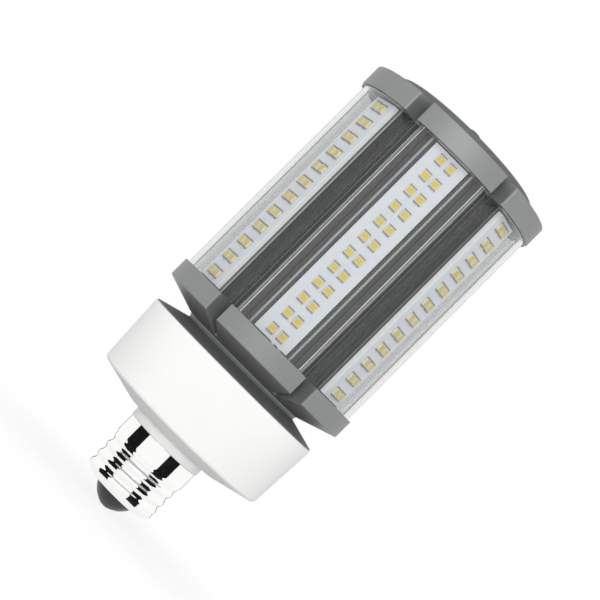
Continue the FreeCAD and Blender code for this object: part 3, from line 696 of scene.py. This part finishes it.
coverSizes = dict(half=13.6, wall=1.2, radius=35.05, corner=1.6, innerCorner=1.2,
                  hook=0.9, hookHeight=1.1, foot=25.106, arcSteps=18)


def archedFace(half, radius, corner, steps):  # from one side to the other, on an arc about the axis
    sweep = math.asin(half / radius)
    points = []
    for i in range(steps + 1):
        turn = sweep * (1 - 2 * i / steps)
        rounding = 0 if 0 < i < steps else corner
        points.append((radius * math.sin(turn), radius * math.cos(turn), rounding))
    return points


def lensCovers(s):
    inner = s["half"] - s["wall"]
    hookTip = inner - s["hook"]
    hookTop = s["foot"] + s["hookHeight"]
    half = [(-inner, hookTop, 0), (-hookTip, hookTop, 0),
            (-hookTip, s["foot"], 0), (-s["half"], s["foot"], 0)]
    ring = archedFace(inner, s["radius"] - s["wall"], s["innerCorner"], s["arcSteps"]) + half
    ring += list(reversed(archedFace(s["half"], s["radius"], s["corner"], s["arcSteps"])))
    ring += [(-t, n, corner) for t, n, corner in reversed(half)]
    outline = [(*lobePoint(t, n), corner) for t, n, corner in ring]
    first = extruded("lensCover1", outline, lowZ("lens_cover_1"), highZ("lens_cover_1"))
    covers = [first] + [onLobe(first, lobe, "lensCover%d" % (lobe + 1)) for lobe in range(1, lobeCount)]
    for lobe, cover in enumerate(covers):
        finishPiece(cover, clearCover, "clear_cover", "lens_cover_%d" % (lobe + 1))


lensCovers(coverSizes)
print("covers made")


# Top lid and its screw

topSizes = dict(radius=28.4, edge=0.7, footRound=0.15, dome=2.2, domeRings=(22, 16, 10, 5),
                wall=1.8, spigot=26.3, spigotDepth=2.0, hole=1.65, boss=4.0,
                headRadius=2.8, headRound=1.6, shank=1.45,
                crossWidth=0.7, crossReach=1.5, crossDepth=1.3)


def topLid(s):
    foot = highZ("upper_end_frame")
    crown = highZ("top_lid")
    rim = crown - s["dome"]
    ball = (s["radius"] ** 2 + s["dome"] ** 2) / (2 * s["dome"])
    dome = [(r, crown - ball + math.sqrt(ball ** 2 - r ** 2)) for r in s["domeRings"]]
    inner = s["spigot"] - s["wall"]
    spigotFoot = foot - s["spigotDepth"]
    piece = turned("topLid", [
        (s["hole"], foot), (s["boss"], foot), (s["boss"], crown - s["wall"]),
        (inner, rim - s["wall"]), (inner, spigotFoot), (s["spigot"], spigotFoot),
        (s["spigot"], foot), (s["radius"], foot, s["footRound"]), (s["radius"], rim, s["edge"]),
        *dome, (s["hole"], crown)], steps=144)
    finishPiece(piece, lidPlastic, "dark_moulding", "top_lid")


def topScrew(s):
    seat = highZ("top_lid")
    top = highZ("top_screw")
    low = lowZ("top_screw")
    piece = turned("topScrew", [
        (0, low), (s["shank"], low), (s["shank"], seat), (s["headRadius"], seat),
        (s["headRadius"], top, s["headRound"]), (0, top)], steps=48)
    for turn in (0, 90):  # cross recess
        tool = unitCube()
        tool.data.transform(Matrix.Diagonal((2 * s["crossReach"] * mm, s["crossWidth"] * mm,
                                             2 * s["crossDepth"] * mm, 1)))
        tool.data.transform(Matrix.Rotation(math.radians(turn), 4, 'Z'))
        tool.data.transform(Matrix.Translation((0, 0, top * mm)))
        cutAway(piece, tool)
    bpy.ops.object.shade_smooth_by_angle(angle=math.radians(30))
    finishPiece(piece, blackenedSteel, "screws", "top_screw")


topLid(topSizes)
topScrew(topSizes)
print("top made")


# Finishes of what the housing and the frames hold out of sight

hiddenFinishes = {
    "driver_board": speckled("greenSolderMask", "#1d5a34", "#25683e", 3, 0.3, 0.42),
    "transformer_core": speckled("ferrite", "#222224", "#303033", 0.6, 0.5, 0.7),
    "transformer_coil": speckled("yellowPolyesterTape", "#d9b73a", "#e6c648", 2, 0.2, 0.35),
    "input_capacitor": speckled("blackSleeve", "#1b1c20", "#25262b", 2, 0.25, 0.35),
    "output_capacitor": speckled("greenSleeve", "#1f4a3c", "#285646", 2, 0.25, 0.35),
    "choke": speckled("shrinkSleeve", "#26262a", "#323236", 1.5, 0.3, 0.45),
    "filter_capacitor": speckled("yellowEpoxyCase", "#c9a227", "#d6af35", 1.5, 0.4, 0.55),
    "fuse": speckled("brownEpoxyCase", "#4f2f22", "#5f3a2a", 1.5, 0.35, 0.5),
    "bridge_rectifier": speckled("blackEpoxy", "#1c1c1d", "#28282a", 0.5, 0.45, 0.6),
    "controller_chip": speckled("blackChipEpoxy", "#18181a", "#242426", 0.4, 0.5, 0.65),
    "switching_transistor": speckled("blackTransistorEpoxy", "#1a1a1b", "#262628", 0.4, 0.5, 0.65),
    "line_wire": speckled("brownInsulation", "#7a3b22", "#86452a", 1, 0.35, 0.5),
    "neutral_wire": speckled("blueInsulation", "#2b5aa0", "#3566ad", 1, 0.35, 0.5),
    "output_wires": speckled("whiteInsulation", "#dcdcd8", "#e6e6e2", 1, 0.35, 0.5),
    "driver_screws": zincPlate, "upper_frame_screws": zincPlate, "lower_frame_screws": zincPlate,
}
for node, finish in hiddenFinishes.items():
    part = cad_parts[node]
    part.data.materials.clear()
    part.data.materials.append(finish)
print("hidden parts finished")


# Camera at the photograph's angle: level with the middle, a little from below, and rolled

cameraSizes = dict(distance=600.0, focalPixels=1924.8, framePixels=600, sensor=36, azimuth=-0.39,
                   elevation=-1.68, roll=45.06, targetHeight=88.24, targetSide=-1.91)


def placeCamera(s):
    azimuth, elevation, roll = (math.radians(s[key]) for key in ("azimuth", "elevation", "roll"))
    forward = Vector((-math.sin(azimuth) * math.cos(elevation),
                      math.cos(azimuth) * math.cos(elevation), -math.sin(elevation)))
    side = Vector((math.cos(azimuth), math.sin(azimuth), 0))
    up = side.cross(forward)
    right = side * math.cos(roll) + up * math.sin(roll)
    top = up * math.cos(roll) - side * math.sin(roll)
    target = Vector((0, 0, s["targetHeight"])) + side * s["targetSide"]
    camera = bpy.data.objects.new("camera", bpy.data.cameras.new("camera"))
    bpy.context.collection.objects.link(camera)
    turn = Matrix((right, top, -forward)).transposed().to_4x4()
    camera.matrix_world = Matrix.Translation((target - forward * s["distance"]) * mm) @ turn
    camera.data.sensor_fit = 'HORIZONTAL'
    camera.data.sensor_width = s["sensor"]
    camera.data.lens = s["focalPixels"] / s["framePixels"] * s["sensor"]
    camera.data.clip_start = 0.01
    bpy.context.scene.camera = camera


# Studio: pale floor, a large soft lamp each side and two behind the camera, one high and one low.
# Only the high one shows in gloss, as the highlight on the grey frames and the covers

lampSizes = dict(
    left=dict(place=(-700, -40, 260), aim=(0, 0, 90), width=420, height=620, watts=1.9, glossy=False),
    right=dict(place=(700, -40, 240), aim=(0, 0, 90), width=420, height=620, watts=2.0, glossy=False),
    front=dict(place=(-60, -760, 350), aim=(0, 0, 90), width=380, height=190, watts=1.5, glossy=True),
    low=dict(place=(0, -900, 130), aim=(0, 0, 90), width=600, height=200, watts=3.85, glossy=False))


def softLamp(name, s):
    data = bpy.data.lights.new(name, 'AREA')
    data.shape = 'RECTANGLE'
    data.size, data.size_y = s["width"] * mm, s["height"] * mm
    data.energy = s["watts"]
    lamp = bpy.data.objects.new(name, data)
    bpy.context.collection.objects.link(lamp)
    place, aim = Vector(s["place"]) * mm, Vector(s["aim"]) * mm
    lamp.location = place
    lamp.rotation_euler = (aim - place).to_track_quat('-Z', 'Y').to_euler()
    lamp.visible_transmission = False  # no lamp shows as a bright patch through a cover
    lamp.visible_glossy = s["glossy"]


floorSizes = dict(span=6, shadowReach=0.01, shadowEnd=0.08, shadowTone=0.86)  # metres


def paleFloor(s):
    pickNothing()
    bpy.ops.mesh.primitive_grid_add(x_subdivisions=4, y_subdivisions=4, size=s["span"])
    floor = bpy.context.object
    floor.name = "floor"
    material, tree, shader, place = newMaterial(
        "paleFloor", **{"Base Color": hexColor("#f0f0f0"), "Roughness": 0.9})
    # white where it is seen straight or in gloss, except close by, where the shadow shows
    path = addNode(tree, 'ShaderNodeLightPath')
    straight = addNode(tree, 'ShaderNodeMath', {"operation": 'LESS_THAN', 1: 0.5},
                       {0: path.outputs["Diffuse Depth"]})
    away = addNode(tree, 'ShaderNodeVectorMath', {"operation": 'LENGTH'}, {0: place})
    level = addNode(tree, 'ShaderNodeMapRange', {
        "interpolation_type": 'SMOOTHSTEP', "From Min": s["shadowReach"], "From Max": s["shadowEnd"],
        "To Min": s["shadowTone"], "To Max": 1.0}, {"Value": away.outputs["Value"]})
    share = addNode(tree, 'ShaderNodeMath', {"operation": 'MULTIPLY'},
                    {0: straight.outputs[0], 1: level.outputs[0]})
    white = addNode(tree, 'ShaderNodeEmission', {"Color": (1, 1, 1, 1), "Strength": 1.0})
    both = addNode(tree, 'ShaderNodeMixShader', None,
                   {0: share.outputs[0], 1: shader.outputs[0], 2: white.outputs[0]})
    tree.links.new(both.outputs[0], tree.nodes["Material Output"].inputs["Surface"])
    floor.data.materials.append(material)


def paleWorld():
    world = bpy.data.worlds.new("studio")
    bpy.context.scene.world = world
    world.use_nodes = True
    tree = world.node_tree
    path = addNode(tree, 'ShaderNodeLightPath')
    seen = addNode(tree, 'ShaderNodeMath', {"operation": 'MAXIMUM'},
                   {0: path.outputs["Is Camera Ray"], 1: path.outputs["Is Glossy Ray"]})
    seen = addNode(tree, 'ShaderNodeMath', {"operation": 'MAXIMUM'},
                   {0: seen.outputs[0], 1: path.outputs["Is Transmission Ray"]})
    # white only where no matt surface lies between: light that a matt surface gathers stays low
    straight = addNode(tree, 'ShaderNodeMath', {"operation": 'LESS_THAN', 1: 0.5},
                       {0: path.outputs["Diffuse Depth"]})
    white = addNode(tree, 'ShaderNodeMath', {"operation": 'MULTIPLY'},
                    {0: seen.outputs[0], 1: straight.outputs[0]})
    level = addNode(tree, 'ShaderNodeMapRange', {"To Min": 0.25, "To Max": 1.0},
                    {"Value": white.outputs[0]})
    background = tree.nodes["Background"]
    background.inputs["Color"].default_value = (1, 1, 1, 1)
    tree.links.new(level.outputs[0], background.inputs["Strength"])


# Dark cards beside and behind the screw cap, seen only in gloss: they draw the edges of bright metal
cardSizes = dict(capRadius=13.5, foot=0.4, reach=12, radius=45, high=46, left=(-9.25, -5.15),
                 right=(3.75, 7.85), back=(144, 216), backHigh=28, dark="#050505", grey="#8c8c8c")


def darkCard(name, tone, places):  # places: rows of points from the cap outwards and up
    pickNothing()
    bpy.ops.mesh.primitive_grid_add(x_subdivisions=8, y_subdivisions=len(places(0)) - 1, size=1)
    card = bpy.context.object
    card.name = name
    for vertex in card.data.vertices:  # the grid is laid on the places
        row = places(vertex.co.x + 0.5)
        vertex.co = Vector(row[round((vertex.co.y + 0.5) * (len(row) - 1))]) * mm
    material = newMaterial(name, **{"Base Color": hexColor(tone), "Roughness": 1.0})[0]
    card.data.materials.append(material)
    card.visible_camera = False
    card.visible_diffuse = False
    card.visible_shadow = False
    card.visible_transmission = False


def besideCap(s, span):  # where the rays that meet the cap between two offsets go on to
    def places(share):
        turn = math.asin((span[0] + share * (span[1] - span[0])) / s["capRadius"])
        far = 2 * turn - math.asin(s["capRadius"] * math.sin(turn) / s["radius"])
        near = (s["capRadius"] * math.sin(turn) + s["reach"] * math.sin(2 * turn),
                -s["capRadius"] * math.cos(turn) - s["reach"] * math.cos(2 * turn), s["foot"])
        out = (s["radius"] * math.sin(far), -s["radius"] * math.cos(far))
        return [near, (*out, s["foot"]), (*out, s["high"])]
    return places


def behindCap(s):
    def places(share):
        turn = math.radians(s["back"][0] + share * (s["back"][1] - s["back"][0]))
        out = (s["radius"] * math.sin(turn), -s["radius"] * math.cos(turn))
        return [(*out, s["foot"]), (*out, s["backHigh"])]
    return places


placeCamera(cameraSizes)
for lampName, lamp in lampSizes.items():
    softLamp(lampName + "Lamp", lamp)
paleFloor(floorSizes)
paleWorld()
darkCard("darkCardLeft", cardSizes["dark"], besideCap(cardSizes, cardSizes["left"]))
darkCard("darkCardRight", cardSizes["dark"], besideCap(cardSizes, cardSizes["right"]))
darkCard("greyCardBehind", cardSizes["grey"], behindCap(cardSizes))
bpy.context.scene.view_settings.view_transform = 'Standard'
print("studio made")
